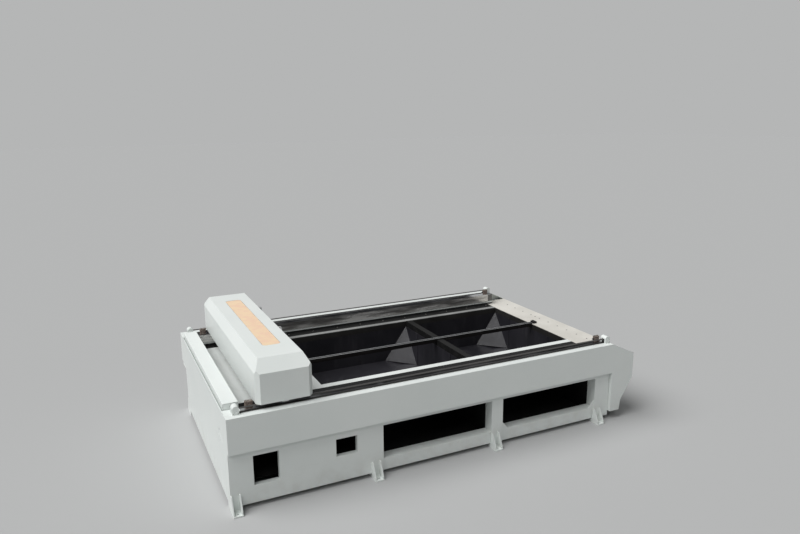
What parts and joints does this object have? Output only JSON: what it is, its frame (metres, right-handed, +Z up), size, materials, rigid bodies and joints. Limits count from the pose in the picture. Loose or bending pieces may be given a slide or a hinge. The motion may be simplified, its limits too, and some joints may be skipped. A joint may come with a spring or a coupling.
{
  "type": "carbon dioxide laser cutting machine",
  "caption": "Long flatbed laser cutter: a chamfered hood over a gantry on two belt-driven beams, above open hoppers in a welded frame on feet.",
  "frame": {"origin": "on the floor, under the middle of the machine's overall box", "axes": "+X along the beams from the parked gantry to the open end, +Y from the front to the rear, +Z up"},
  "size_m": [4.412, 2.63, 1.294],
  "materials": {
    "white_paint": "off-white powder coat",
    "dark_paint": "near-black satin paint",
    "hopper_paint": "dark grey paint",
    "ground_steel": "ground and oiled",
    "bright_steel": "polished",
    "bar_paint": "dark brown satin",
    "belt": "matt polyurethane",
    "buffer": "reddish brown polyurethane",
    "aluminium": "natural",
    "tube_glass": "clear",
    "acrylic": "clear acrylic",
    "kraft": "brown masking paper",
    "motor_black": "black housing"
  },
  "bodies": {
    "machine_frame": {"base_tray": "dark_paint", "cross_bar": "bar_paint", "cross_beam_left": "white_paint", "cross_beam_right": "white_paint", "divider_beam": "dark_paint", "drive_motor": "motor_black", "front_beam": "white_paint", "front_belt": "belt", "front_fascia": "white_paint", "front_guideway": "ground_steel", "front_ledge": "dark_paint", "front_left_end_block": "white_paint", "front_left_panel": "white_paint", "front_leg_2": "white_paint", "front_leg_3": "white_paint", "front_leg_4": "white_paint", "front_lip": "white_paint", "front_lower_rail_left": "white_paint", "front_lower_rail_right": "white_paint", "front_right_end_block": "white_paint", "hopper_left": "hopper_paint", "hopper_right": "hopper_paint", "left_deck": "white_paint", "left_side_panel": "white_paint", "rear_beam": "white_paint", "rear_belt": "belt", "rear_fascia": "white_paint", "rear_guard": "bright_steel", "rear_guideway": "ground_steel", "rear_ledge": "dark_paint", "rear_left_end_block": "white_paint", "rear_left_panel": "white_paint", "rear_leg_2": "white_paint", "rear_leg_3": "white_paint", "rear_leg_4": "white_paint", "rear_lip": "white_paint", "rear_lower_rail_left": "white_paint", "rear_lower_rail_right": "white_paint", "rear_right_end_block": "white_paint", "right_end_plate": "white_paint", "right_end_skin": "white_paint", "shaft_cover": "white_paint", "travel_stops": "buffer"},
    "gantry": {"hood": "white_paint", "window_pane": "acrylic", "masking_paper": "kraft", "front_carriage": "aluminium", "rear_carriage": "aluminium", "crossbeam": "aluminium", "laser_tube": "tube_glass", "mirror_mount_1": "aluminium", "mirror_mount_2": "aluminium", "head_rail": "ground_steel", "head_motor": "motor_black"},
    "head": {"head_carriage": "aluminium"},
    "lens": {"lens_tube": "aluminium"},
    "screw": {"head_screw": "ground_steel"},
    "shaft": {"drive_shaft": "ground_steel"},
    "idler_front": {"front_idler": "ground_steel"},
    "idler_rear": {"rear_idler": "ground_steel"}
  },
  "joints": [
    {"name": "gantry_travel", "type": "slide", "parent": "machine_frame", "child": "gantry", "axis": [1, 0, 0], "range_m": [0, 3.2]},
    {"name": "head_travel", "type": "slide", "parent": "gantry", "child": "head", "axis": [0, 1, 0], "range_m": [-0.75, 0.75]},
    {"name": "focus", "type": "slide", "parent": "head", "child": "lens", "axis": [0, 0, 1], "range_m": [-0.005, 0.018]},
    {"name": "screw_turn", "type": "hinge", "parent": "gantry", "child": "screw", "pos_m": [-1.416, 0.03, 0.95], "axis": [0, 1, 0], "range_deg": [-13510, 13510]},
    {"name": "shaft_turn", "type": "hinge", "parent": "machine_frame", "child": "shaft", "pos_m": [-2.109, 0.03, 0.892], "axis": [0, 1, 0], "range_deg": [0, 9762]},
    {"name": "front_idler_turn", "type": "hinge", "parent": "machine_frame", "child": "idler_front", "pos_m": [1.883, -1.155, 0.892], "axis": [0, 1, 0], "range_deg": [0, 9762]},
    {"name": "rear_idler_turn", "type": "hinge", "parent": "machine_frame", "child": "idler_rear", "pos_m": [1.883, 1.215, 0.892], "axis": [0, 1, 0], "range_deg": [0, 9762]}
  ],
  "couplings": [
    {"joint": "screw_turn", "follows": "head_travel", "rad_per_m": 314.16},
    {"joint": "shaft_turn", "follows": "gantry_travel", "rad_per_m": 53.191},
    {"joint": "front_idler_turn", "follows": "gantry_travel", "rad_per_m": 53.191},
    {"joint": "rear_idler_turn", "follows": "gantry_travel", "rad_per_m": 53.191}
  ]
}
